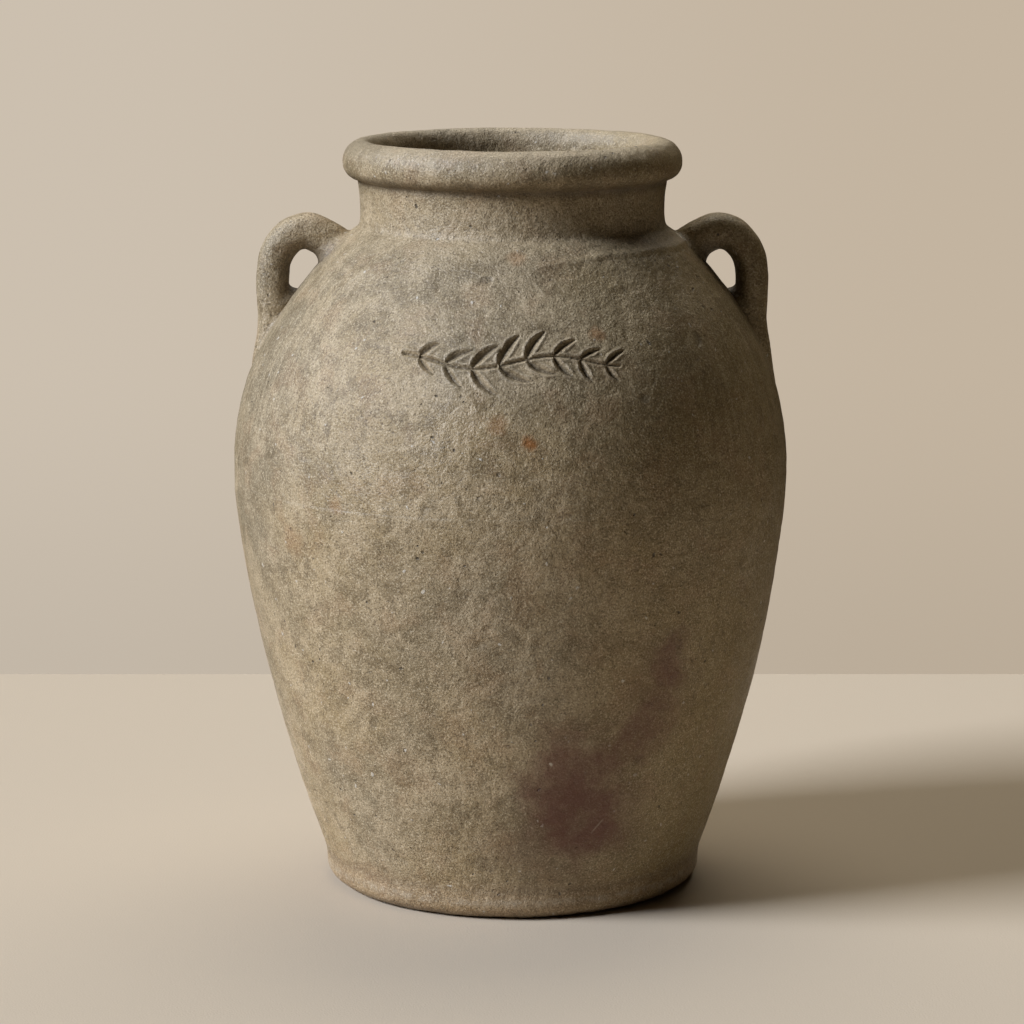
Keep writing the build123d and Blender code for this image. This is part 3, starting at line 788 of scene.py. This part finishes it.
def strap_tree():
    """An oval section along rows, spread sideways near the jar's skin as wet clay is smoothed on."""
    tree = geometry_tree("pulled_strap", [("Rows", "Int"), ("Columns", "Int"), ("Skin", "Object"),
                                          ("Squareness", "Float"), ("Clay", "Material")])
    net = Net(tree)
    given = net.add("NodeGroupInput").outputs
    rows = given["Rows"]
    index = net.add("GeometryNodeInputIndex").outputs[0]
    row = net.math("MODULO", index, rows)
    column = net.math("FLOOR", net.math("DIVIDE", index, rows))
    turn = net.math("MULTIPLY", net.math("DIVIDE", column, given["Columns"]), 2 * math.pi)
    grid = net.add("GeometryNodeMeshGrid", {"Vertices X": net.math("ADD", given["Columns"], 1.0),
                                            "Vertices Y": rows}).outputs[0]

    def squared(value):
        size = net.math("POWER", net.math("ABSOLUTE", value), net.math("DIVIDE", 2.0, given["Squareness"]))
        return net.math("MULTIPLY", size, net.math("SIGN", value))

    def of_row(label, kind="FLOAT"):
        return sampled(net, given[0], named(net, label, kind), row, kind)

    face, edge = squared(net.math("COSINE", turn)), squared(net.math("SINE", turn))
    centre = sampled(net, given[0], net.add("GeometryNodeInputPosition").outputs[0], row, "FLOAT_VECTOR")
    outwards = of_row("outwards", "FLOAT_VECTOR")
    sideways = (0.0, 1.0, 0.0)
    reach = net.vector("ADD", net.times(outwards, net.math("MULTIPLY", face, of_row("half_thick"))),
                       net.times(sideways, net.math("MULTIPLY", edge, of_row("half_wide"))))
    place = net.vector("ADD", centre, reach)

    skin = net.add("GeometryNodeObjectInfo", {"Object": given["Skin"]}).outputs["Geometry"]
    height = net.math("MULTIPLY", depth_below(net, place, skin)[0], -1.0)
    above = net.math("MAXIMUM", net.math("ADD", height, SUNK), 0.0)
    inwards = net.math("MAXIMUM", net.math("MULTIPLY", face, -1.0), 0.0)
    closing = net.ramp(height, EYE_SHUT, EYE_WEB, 1.0, 0.0, smooth=False)
    closing = net.math("SQRT", net.math("SUBTRACT", 1.0, net.math("MULTIPLY", closing, closing)))
    web = net.math("MULTIPLY", net.math("SUBTRACT", 1.0, closing), EYE_FILLING)
    web = net.math("MULTIPLY", above, web)
    web = net.math("MULTIPLY", web, net.math("MULTIPLY", inwards, of_row("eye")))
    top = net.math("MULTIPLY", net.math("MAXIMUM", face, 0.0), 1.0 - TOP_FILLET_SHARE)
    fillet = net.math("MULTIPLY", of_row("fillet"), net.math("SUBTRACT", 1.0, top))
    left = net.math("MAXIMUM", net.math("SUBTRACT", fillet, above), 0.0)
    square = net.math("SUBTRACT", net.math("MULTIPLY", fillet, fillet), net.math("MULTIPLY", left, left))
    spread = net.math("SUBTRACT", fillet, net.math("SQRT", net.math("MAXIMUM", square, 0.0)))
    spread = net.math("SUBTRACT", spread, of_row("inset"))
    face_way = net.math("MULTIPLY", net.math("MULTIPLY", face, of_row("face_spread")), spread)
    move = net.vector("ADD", net.times(outwards, net.math("SUBTRACT", face_way, web)),
                      net.times(sideways, net.math("MULTIPLY", edge, spread)))
    place = net.vector("ADD", place, net.times(move, of_row("open")))
    deep, out_across, out_up = depth_below(net, place, skin)
    deep = net.math("MAXIMUM", net.math("SUBTRACT", deep, STRAP_DEEPEST), 0.0)
    level = net.vector("NORMALIZE", net.vector("MULTIPLY", place, (1.0, 1.0, 0.0)))
    upwards = net.add("ShaderNodeCombineXYZ", {"Z": out_up}).outputs[0]
    lift = net.vector("ADD", net.times(level, out_across), upwards)
    place = net.vector("ADD", place, net.times(lift, deep))
    shape = net.add("GeometryNodeSetPosition", {"Geometry": grid, "Position": place}).outputs[0]
    # the strap's inner face, kept for the painted shade on it
    shape = kept(net, shape, "inner_face", inwards)
    shape = net.add("GeometryNodeMergeByDistance", {"Geometry": shape, "Distance": TOUCHING}).outputs[0]

    spot = net.add("GeometryNodeInputPosition").outputs[0]
    lumps = net.total(net.swing(spot, *STRAP_LUMPS, detail=3), net.swing(spot, *STRAP_DENTS, detail=2))
    out = net.add("GeometryNodeInputNormal").outputs[0]
    shape = net.add("GeometryNodeSetPosition", {"Geometry": shape,
                                                "Offset": net.times(out, lumps)}).outputs[0]
    finish_tree(net, shape, given["Clay"], ())
    return tree


def depth_below(net, place, skin):
    """How deep a place lies under the jar's skin, and which way is out there, across and up."""
    x, y, z = net.add("ShaderNodeSeparateXYZ", {0: place}).outputs
    radius = net.math("SQRT", net.math("ADD", net.math("MULTIPLY", x, x), net.math("MULTIPLY", y, y)))
    folded = net.add("ShaderNodeCombineXYZ", {"X": radius, "Z": z}).outputs[0]
    near = net.add("GeometryNodeSampleNearest", {"Geometry": skin, "Sample Position": folded}).outputs[0]
    on_skin = sampled(net, skin, net.add("GeometryNodeInputPosition").outputs[0], near, "FLOAT_VECTOR")
    out = sampled(net, skin, named(net, "out", "FLOAT_VECTOR"), near, "FLOAT_VECTOR")
    deep = net.vector("DOT_PRODUCT", net.vector("SUBTRACT", on_skin, folded), out)
    parts = net.add("ShaderNodeSeparateXYZ", {0: out}).outputs
    return deep, parts[0], parts[2]


def strap_line(side):
    """The middle of a strap from inside the neck wall to inside the shoulder, as (x, z) points."""
    low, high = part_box("handle_" + side)
    edge = max(abs(low.x), abs(high.x))
    return hermite(np.array([(edge - inward, high.z - down) for inward, down in STRAP_LINE]), STRAP_STEP)


def above_skin(points):
    """Signed distances of (radius, height) points from the jar's outside."""
    skin, out = outer_skin()
    apart = points[:, None, :] - skin[None]
    near = np.argmin((apart**2).sum(axis=2), axis=1)
    return (apart[np.arange(len(points)), near] * out[near]).sum(axis=1)


def outer_skin():
    """The outline from the foot to the crest of the rim, with its outward directions."""
    inside = (outline.along > outline.place(outline.joints[0][0])) & (outline.along < outline.crest)
    return outline.line[inside], outline.out[inside]


def strap_rows(side, buried, reach, lengthwise):
    """Rows along a strap, from where its middle is buried this deep, over this reach or to its other end."""
    line = strap_line(side)
    along = arc_length(line)
    height = above_skin(line)
    seen = np.flatnonzero(height > -STRAP_BURIED)
    first, last = along[seen[0]], along[seen[-1]]
    start = along[np.flatnonzero(height > -buried)[0]]
    places = np.arange(start, last if reach is None else start + reach, lengthwise)
    point = np.column_stack([np.interp(places, along, line[:, k]) for k in (0, 1)])
    way = np.gradient(line, axis=0)
    way /= np.linalg.norm(way, axis=1)[:, None]
    way = np.column_stack([np.interp(places, along, way[:, k]) for k in (0, 1)])
    share = np.clip((places - first) / (last - first), 0, 1)
    return point, np.column_stack([-way[:, 1], way[:, 0]]), share


def strap_seed(name, side, point, outwards, **rows):
    """A point for each row. The left handle is the right one mirrored."""
    mirror = 1.0 if side == "right" else -1.0
    places = [(mirror * p[0], 0.0, p[1]) for p in point]
    outs = [(mirror * o[0], 0.0, o[1]) for o in outwards]
    return point_mesh(name, places, outwards=outs, **rows)


def eased(share, start, full):
    """0 up to the start, rising to 1 where it is full, along a strap's or a coil's rows."""
    return np.clip((share - start) / (full - start), 0, 1)


def thickness(share):
    return np.interp(share, STRAP_THICK_AT, STRAP_HALF_THICK)


def width(share):
    return np.interp(share, STRAP_WIDE_AT, STRAP_HALF_WIDE)


def drawn_out(name, side, tree, skin, clay, point, outwards, **rows):
    """The piece that the strap's tree makes from these rows."""
    seed = strap_seed(name + "_rows", side, point, outwards, **rows)
    return grown(name + "_" + side + "_clay", tree, seed, {
        "Rows": len(point), "Columns": STRAP_COLUMNS, "Skin": skin, "Squareness": STRAP_SQUARENESS,
        "Clay": clay})


def pulled_strap(side, tree, skin, clay):
    """The strap: closed inside the wall at both ends, with its tail thumbed onto the shoulder."""
    point, outwards, share = strap_rows(side, STRAP_BURIED, None, STRAP_ROW)
    none = np.zeros(len(share))
    rows = {"half_thick": thickness(share), "half_wide": width(share), "inset": none, "face_spread": none,
            "fillet": TAIL_FILLET * eased(share, TAIL_FROM, TAIL_FULL) + NO_FILLET,
            "eye": eased(share, EYE_FROM, EYE_FULL), "open": none + 1.0}
    pick = [0, *range(len(share)), len(share) - 1]
    rows = {label: values[pick] for label, values in rows.items()}
    for label in ("half_thick", "half_wide", "open"):
        rows[label][[0, -1]] = 0.0
    return drawn_out("handle", side, tree, skin, clay, point[pick], outwards[pick], **rows)


def smoothed_coil(side, tree, skin, clay):
    """The coil smoothed into the corner between strap and neck, as a thin ring of clay."""
    point, outwards, share = strap_rows(side, COIL_BURIED, COIL_REACH, COIL_ROW)
    count = len(share)
    there = np.arange(count)
    dive = eased(there / count, COIL_DIVES_FROM, COIL_DIVES_FULL) * COIL_EDGE
    pick = [*there, *there[::-1], 0]
    inset = np.concatenate([dive, np.full(count, COIL_UNDER), dive[:1]])
    fillet = np.concatenate([np.full(count, ROOT_FILLET), np.full(count, NO_FILLET), [ROOT_FILLET]])
    full = np.ones(len(pick))
    return drawn_out("root_coil", side, tree, skin, clay, point[pick], outwards[pick],
                     half_thick=thickness(share)[pick], half_wide=width(share)[pick], fillet=fillet,
                     inset=inset, face_spread=full, open=full, eye=0 * full)


# --- the clay ---------------------------------------------------------------------------------

def on_front(across, height):
    """The place on the jar's face that is this far across and up, in millimetres."""
    skin, _ = outer_skin()
    order = np.argsort(skin[:, 1])
    radius = np.interp(height * MM, skin[order, 1], skin[order, 0])
    return (across * MM, -math.sqrt(radius**2 - (across * MM)**2), height * MM)


def blot(net, place, middle, reach, edge=0.35):
    """1 at the middle and 0 beyond the reach, with a soft edge. The reach is one number or three."""
    apart = net.vector("SUBTRACT", place, middle)
    reach = (reach, reach, reach) if isinstance(reach, float) else reach
    apart = net.vector("LENGTH", net.vector("DIVIDE", apart, reach))
    return net.ramp(apart, 1.0 - edge, 1.0 + edge, 1.0, 0.0)


def mixed(net, share, under, over, blend="MIX"):
    node = net.add("ShaderNodeMix", {0: share, 6: under, 7: over}, data_type="RGBA", blend_type=blend)
    return node.outputs[2]


def coated(net, colour, paint, share, amount=None):
    """The colour with this paint over it, where the share says so, and thinned to the amount."""
    share = share if amount is None else net.math("MULTIPLY", share, amount)
    return mixed(net, share, colour, paint)


def band(net, level, middle, reach, solid=0.0):
    """1 at this level and 0 beyond the reach each way."""
    apart = net.math("ABSOLUTE", net.math("SUBTRACT", level, middle))
    return net.ramp(apart, solid, reach, 1.0, 0.0)


def fired_body(net, place, bent, coarse, sand):
    """Wide drifts and mottles, tones that belong to parts of the jar, a painted shade on its right and lower
    side, and fine sand.
    """
    x, y, z = net.add("ShaderNodeSeparateXYZ", {0: place}).outputs
    colour = mixed(net, net.patches(place, *DRIFT), BODY_KHAKI, BODY_GREY)
    colour = coated(net, colour, BODY_SAND, net.patches(bent, *MOTTLE), 0.5)
    colour = coated(net, colour, BODY_DARK, net.patches(bent, *BLOTCH), 0.5)
    # painted shade: an olive tone darkens the jar's right side, more so low down
    colour = coated(net, colour, OLIVE_SHADE_TONE, net.ramp(x, *RIGHT_SHADE_ACROSS), net.ramp(z, *RIGHT_SHADE_UP))
    colour = coated(net, colour, BODY_RED, net.patches(bent, *FLUSH), 0.3)
    colour = coated(net, colour, BODY_RED, net.ramp(z, *RED_FOOT))
    colour = coated(net, colour, BODY_SAND, net.ramp(z, *SANDY_NECK), net.ramp(z, *SANDY_NECK_TOP))

    round_way = net.vector("NORMALIZE", net.vector("MULTIPLY", place, (1.0, 1.0, 0.0)))
    brushed = net.vector("ADD", net.times(round_way, 48.0), net.vector("MULTIPLY", place, (0.0, 0.0, 11.0)))
    beside = net.ramp(net.math("ABSOLUTE", x), *BRUSHED_ASIDE)
    beside = net.math("MULTIPLY", beside, net.ramp(z, *BRUSHED_LOW))
    beside = net.math("MULTIPLY", beside, net.ramp(z, *BRUSHED_HIGH))
    thin = net.math("MULTIPLY", beside, 0.3)
    streak = net.noise(brushed, 1.0, detail=3, roughness=0.6)
    colour = coated(net, colour, BODY_SAND, net.ramp(streak, 0.5, 0.66), thin)
    colour = coated(net, colour, BODY_DARK, net.ramp(streak, 0.5, 0.36), thin)

    colour = coated(net, colour, BODY_SAND, net.ramp(coarse, 0.53, 0.72, 0.0, 0.25))
    colour = coated(net, colour, BODY_DARK, net.ramp(coarse, 0.47, 0.3, 0.0, 0.4))
    colour = coated(net, colour, SAND_LIGHT, net.ramp(sand, 0.53, 0.68, 0.0, 0.55))
    return coated(net, colour, SAND_DARK, net.ramp(sand, 0.48, 0.32, 0.0, 0.75))


def pits_and_grog(net, place, bent):
    """Where there are small clustered pits, wider pocks and pale grog."""
    cells = net.add("ShaderNodeTexVoronoi", {"Vector": bent, "Scale": 210.0, "Randomness": 1.0})
    chance = net.add("ShaderNodeSeparateColor", {0: cells.outputs["Color"]}).outputs
    near = net.math("ADD", cells.outputs["Distance"], net.swing(place, 1100, 0.3))
    picked = net.ramp(net.math("ADD", chance[0], net.patches(place, *PIT_CLUSTERS)), 1.0, 1.2)
    near = net.math("SUBTRACT", near, net.math("MULTIPLY", net.math("MULTIPLY", chance[2], chance[2]), 0.1))
    pit = net.math("MULTIPLY", net.ramp(near, 0.04, 0.17, 1.0, 0.0), picked)
    speck = net.math("MULTIPLY", net.ramp(near, 0.07, 0.14, 1.0, 0.0), net.ramp(chance[1], 0.9, 0.92))
    wide = net.add("ShaderNodeTexVoronoi", {"Vector": bent, "Scale": 38.0, "Randomness": 1.0})
    wide_chance = net.add("ShaderNodeSeparateColor", {0: wide.outputs["Color"]}).outputs
    pock = net.math("MULTIPLY", net.ramp(wide.outputs["Distance"], 0.06, 0.16, 1.0, 0.0),
                    net.ramp(wide_chance[0], 0.6, 0.62))
    return pit, pock, speck


def shade_highlights_and_wear(net, colour, place, coarse):
    """Painted shade in the creases, cuts and mouth, under the foot, on the handles' inner faces and beside
    their roots; a painted highlight with some wear round the foot and on the cuts' raised edges; wear on the
    lip, with the lip's own share.
    """
    x, y, z = net.add("ShaderNodeSeparateXYZ", {0: place}).outputs
    radius = net.math("SQRT", net.math("ADD", net.math("MULTIPLY", x, x), net.math("MULTIPLY", y, y)))
    uneven = net.swing(place, *SHADE_AND_WEAR_UNEVEN, detail=3)
    level = net.math("ADD", z, uneven)
    # painted shade in the crease under the rolled rim, on the outside
    under_rim = net.math("MULTIPLY", band(net, level, RIM_CREASE, 6 * MM), net.ramp(radius, *OUTSIDE))
    colour = coated(net, colour, PAINTED_SHADE, under_rim, 0.62)
    # painted shade in the crease where the wall meets the foot
    colour = coated(net, colour, PAINTED_SHADE, band(net, level, FOOT_CREASE, 4 * MM), 0.22)
    # painted shade under the foot's rounded bottom edge
    colour = coated(net, colour, PAINTED_SHADE, net.ramp(level, 1 * MM, 6 * MM, 1.0, 0.0), 0.6)
    # a painted highlight, with some wear, where the foot rounds under
    foot_highlight_and_wear = band(net, level, FOOT_HIGHLIGHT_AND_WEAR_LEVEL, 3 * MM, solid=0.5 * MM)
    colour = coated(net, colour, WEAR_AND_HIGHLIGHT, foot_highlight_and_wear, net.ramp(coarse, 0.4, 0.6, 0.05, 0.4))
    lipped = net.math("MULTIPLY", net.ramp(level, *WORN_LIP), 0.3)
    colour = coated(net, colour, WEAR_AND_HIGHLIGHT, lipped)

    groove, lip, inner_face = (net.add("ShaderNodeAttribute", attribute_name=label).outputs["Fac"]
                               for label in ("groove", "lip", "inner_face"))
    # painted shade in the sprig's cuts
    colour = coated(net, colour, PAINTED_SHADE, net.ramp(groove, 0.15, 0.9, 0.0, 0.5))
    # painted highlight on the raised clay beside the cuts
    colour = coated(net, colour, WEAR_AND_HIGHLIGHT, lip, 0.32)
    # painted shade inside the mouth, growing deeper down
    inner = net.math("MULTIPLY", net.ramp(radius, *INSIDE), net.ramp(z, *INSIDE_DOWN))
    colour = coated(net, colour, PAINTED_SHADE, inner, 0.75)
    # painted shade on the handles' inner faces
    colour = coated(net, colour, PAINTED_SHADE, net.ramp(inner_face, 0.0, 0.9, 0.0, 0.6))
    # painted shade in the corner between each handle's root and the neck
    either = net.add("ShaderNodeCombineXYZ", {"X": net.math("ABSOLUTE", x), "Y": net.math("ADD", y, uneven),
                                              "Z": z}).outputs[0]
    colour = coated(net, colour, PAINTED_SHADE, blot(net, either, ARMPIT, ARMPIT_REACH, edge=0.7), 0.45)
    return colour, lipped


def spilt_wine(net, place, bent):
    """How much of the halo and of the stain there is: blots that wander, patchy inside."""
    wandering = net.strewn(place, 22.0, 5.0, 0.62)
    wandering = net.vector("SUBTRACT", wandering, (0.5, 0.5, 0.5))
    spilt = net.vector("ADD", place, net.times(wandering, STAIN_WANDERS))
    halo, stain = 0.0, 0.0
    for across, height, reach, strength in WINE_BLOTS:
        middle, size = on_front(across, height), (reach[0] * MM, STAIN_DEPTH, reach[1] * MM)
        one = net.math("MULTIPLY", blot(net, spilt, middle, size, edge=0.55), strength)
        stain = net.math("MAXIMUM", stain, one)
        wider = tuple(HALO_SIZE * r for r in size)
        halo = net.math("MAXIMUM", halo, blot(net, spilt, middle, wider, edge=0.4))
    for across, height, reach in WINE_HALOS:
        size = (reach[0] * MM, STAIN_DEPTH, reach[1] * MM)
        halo = net.math("MAXIMUM", halo, blot(net, spilt, on_front(across, height), size, edge=0.6))
    return halo, net.math("MULTIPLY", stain, net.patches(bent, *STAIN_PATCHES))


def scratched(net, place):
    """One slanting scratch on the face."""
    x, y, z = net.add("ShaderNodeSeparateXYZ", {0: place}).outputs
    across, up, half_length, lean = SCRATCH
    x, z = net.math("SUBTRACT", x, across), net.math("SUBTRACT", z, up)
    along = net.math("ADD", net.math("MULTIPLY", x, math.cos(lean)), net.math("MULTIPLY", z, math.sin(lean)))
    aside = net.math("SUBTRACT", net.math("MULTIPLY", x, math.sin(lean)),
                     net.math("MULTIPLY", z, math.cos(lean)))
    line = net.ramp(net.math("ABSOLUTE", aside), 0.1 * MM, 0.6 * MM, 0.45, 0.0)
    ends = net.ramp(net.math("ABSOLUTE", along), 0.4 * half_length, half_length, 1.0, 0.0)
    return net.math("MULTIPLY", net.math("MULTIPLY", line, ends), net.ramp(y, *FACE_ONLY))


def stoneware():
    """Sandy unglazed stoneware: mottled khaki body, grog and pits, rust spots and a wine stain."""
    clay = bpy.data.materials.new("stoneware")
    clay.use_nodes = True
    clay.node_tree.nodes.clear()
    net = Net(clay.node_tree)
    place = net.add("ShaderNodeTexCoord").outputs["Object"]
    bent = net.vector("ADD", place, net.times(net.strewn(place, 30.0, 3.0), 20 * MM))
    frayed = net.vector("ADD", place, net.times(net.strewn(place, 160.0, 3.0), 6 * MM))
    coarse = net.noise(place, 240, detail=3, roughness=0.65)
    sand = net.noise(place, 1050, detail=2, roughness=0.7)

    colour = fired_body(net, place, bent, coarse, sand)
    pit, pock, speck = pits_and_grog(net, place, bent)
    # painted shade in the pits and the wider pocks
    colour = coated(net, colour, PIT, pit, 0.85)
    colour = coated(net, colour, PIT, pock, 0.35)
    colour = coated(net, colour, GROG, speck, 0.8)
    colour, lipped = shade_highlights_and_wear(net, colour, place, coarse)

    def marked(colour, paint, across, height, reach, strength, edge):
        middle = tuple(c + FRAYED_BY for c in on_front(across, height))
        return coated(net, colour, paint, blot(net, frayed, middle, reach * MM, edge=edge), strength)

    for across, height, reach, strength in RUST_SPOTS:
        colour = marked(colour, RUST, across, height, reach, strength, edge=0.6)
    halo, stain = spilt_wine(net, place, bent)
    colour = coated(net, colour, WINE_HALO, halo, 0.34)
    colour = coated(net, colour, WINE, stain, 0.74)
    for across, height, reach in WHITE_SPECKS:
        colour = marked(colour, GROG, across, height, reach, 0.75, edge=0.3)
    colour = coated(net, colour, WEAR_AND_HIGHLIGHT, scratched(net, place))

    # how it shines
    rough = net.math("SUBTRACT", 0.57, net.math("MULTIPLY", net.patches(place, *SATIN), 0.18))
    rough = net.math("SUBTRACT", rough, net.math("MULTIPLY", lipped, 0.3))
    rough = net.math("ADD", rough, net.swing(place, 400, 0.2, detail=2))
    rough = net.math("SUBTRACT", rough, net.math("MULTIPLY", stain, 0.08))

    # how it feels: grain, sand, pits and grog as relief
    relief = net.swing(bent, 120, 1.0 * MM, detail=2)
    for way, mark, size in (("ADD", coarse, 0.75), ("ADD", sand, 0.42), ("SUBTRACT", pit, 0.7),
                            ("SUBTRACT", pock, 0.6), ("ADD", speck, 0.2)):
        relief = net.math(way, relief, net.math("MULTIPLY", mark, size * MM))
    bump = net.add("ShaderNodeBump", {"Height": relief, "Distance": 1.0, "Strength": 1.0})
    shader = net.add("ShaderNodeBsdfPrincipled", {"Base Color": colour, "Roughness": rough,
                                                  "Normal": bump.outputs[0], "Specular IOR Level": 0.5})
    net.add("ShaderNodeOutputMaterial", {"Surface": shader.outputs[0]})
    return clay


# --- the room ---------------------------------------------------------------------------------

def plaster():
    """Pale matte paint with a fine grain."""
    paint = bpy.data.materials.new("plaster")
    paint.use_nodes = True
    net = Net(paint.node_tree)
    place = net.add("ShaderNodeTexCoord").outputs["Object"]
    shader = paint.node_tree.nodes["Principled BSDF"]
    grain = net.swing(place, 900, 0.12 * MM, detail=2)
    bump = net.add("ShaderNodeBump", {"Height": grain, "Distance": 1.0}).outputs[0]
    net.feed(shader.inputs["Normal"], bump)
    shader.inputs["Base Color"].default_value = FLOOR_PAINT
    shader.inputs["Roughness"].default_value = 0.9
    shader.inputs["Specular IOR Level"].default_value = 0.15
    return paint


def floor():
    """A plain pale floor that ends a little way behind the jar."""
    corners = [(-FLOOR_LEFT, -FLOOR_AHEAD, 0.0), (FLOOR_RIGHT, -FLOOR_AHEAD, 0.0),
               (FLOOR_RIGHT, FLOOR_BEHIND, 0.0), (-FLOOR_LEFT, FLOOR_BEHIND, 0.0)]
    mesh = bpy.data.meshes.new("floor")
    mesh.from_pydata(corners, [], [(0, 1, 2, 3)])
    mesh.materials.append(plaster())
    piece = bpy.data.objects.new("floor", mesh)
    bpy.context.collection.objects.link(piece)
    return piece


def surroundings():
    """A pale wall tone wherever the floor ends, painted darker to the right and down by the floor as shade,
    and a faint warm light from all round.
    """
    world = bpy.data.worlds.new("surroundings")
    bpy.context.scene.world = world
    world.use_nodes = True
    world.node_tree.nodes.clear()
    net = Net(world.node_tree)
    way = net.add("ShaderNodeTexCoord").outputs["Generated"]
    x, y, z = net.add("ShaderNodeSeparateXYZ", {0: way}).outputs
    # painted shade: the wall tone darkens to the right and down by the floor
    tone = mixed(net, net.ramp(x, *WALL_TURNS), WALL_LEFT, WALL_RIGHT)
    tone = mixed(net, net.ramp(z, *WALL_DARKENS), tone, WALL_LOW, blend="MULTIPLY")
    wall = net.add("ShaderNodeBackground", {"Color": tone, "Strength": 1.0}).outputs[0]
    light = net.add("ShaderNodeBackground", {"Color": ROOM_LIGHT, "Strength": ROOM_LIGHT_STRENGTH}).outputs[0]
    seen = net.add("ShaderNodeLightPath").outputs["Is Camera Ray"]
    either = net.add("ShaderNodeMixShader", {0: seen, 1: light, 2: wall}).outputs[0]
    net.add("ShaderNodeOutputWorld", {"Surface": either})


def soft_lamp(name, place, aim, size, power, colour):
    lamp = bpy.data.lights.new(name, "AREA")
    lamp.shape, lamp.size, lamp.size_y = "RECTANGLE", size[0], size[1]
    lamp.energy = power
    lamp.color = colour
    piece = bpy.data.objects.new(name, lamp)
    bpy.context.collection.objects.link(piece)
    piece.location = place
    way = mathutils.Vector(aim) - mathutils.Vector(place)
    piece.rotation_euler = way.to_track_quat("-Z", "Y").to_euler()
    return piece


def camera():
    lens = bpy.data.cameras.new("camera")
    lens.lens, lens.sensor_width = CAMERA_LENS, 36.0
    lens.clip_end = 20.0
    piece = bpy.data.objects.new("camera", lens)
    bpy.context.collection.objects.link(piece)
    piece.location = CAMERA_PLACE
    piece.rotation_euler = (math.radians(90) - CAMERA_DOWN, 0.0, 0.0)
    bpy.context.scene.camera = piece


# --- putting it together ----------------------------------------------------------------------

outline = Outline()
neck_joint = outline.place(outline.joints[2][0])
sprig_middle = neck_joint - SPRIG_BELOW_NECK
clay = stoneware()

stem = point_mesh("sprig_seed", [(0, 0, 0)])
sprig = grown("sprig_lines", sprig_tree(), stem, {
    "Length": SPRIG_LENGTH, "Pairs": LEAF_PAIRS, "Leaf Length": LEAF_LENGTH,
    "Leaf Half Width": LEAF_HALF_WIDTH, "Stem Half Width": STEM_HALF_WIDTH, "Wave": SPRIG_WAVE,
    "Leaf Angle": LEAF_ANGLE, "Step": STROKE_STEP})
skin_points, skin_outs = outer_skin()
skin = bpy.data.objects.new("skin_line", point_mesh(
    "skin_line", [(p[0], 0, p[1]) for p in skin_points], out=[(o[0], 0, o[1]) for o in skin_outs]))
bpy.context.collection.objects.link(skin)

ring_tree, pull_tree = thrown_ring_tree(), strap_tree()
pieces = {name: thrown_ring(number, ring_tree, sprig, clay) for number, name in enumerate(RING_NODES)}
for side in ("left", "right"):
    pieces["handle_" + side] = pulled_strap(side, pull_tree, skin, clay)
    pieces["root_coil_" + side] = smoothed_coil(side, pull_tree, skin, clay)
for helper in (sprig, skin):
    bpy.data.objects.remove(helper)

for node, piece in pieces.items():
    piece.data.set_sharp_from_angle(angle=SHARP_ANGLE)
    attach(piece, "root")
    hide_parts(node)

floor()
camera()
bpy.context.scene.view_settings.view_transform = "Standard"
for lamp in LAMPS:
    soft_lamp(**lamp)
surroundings()
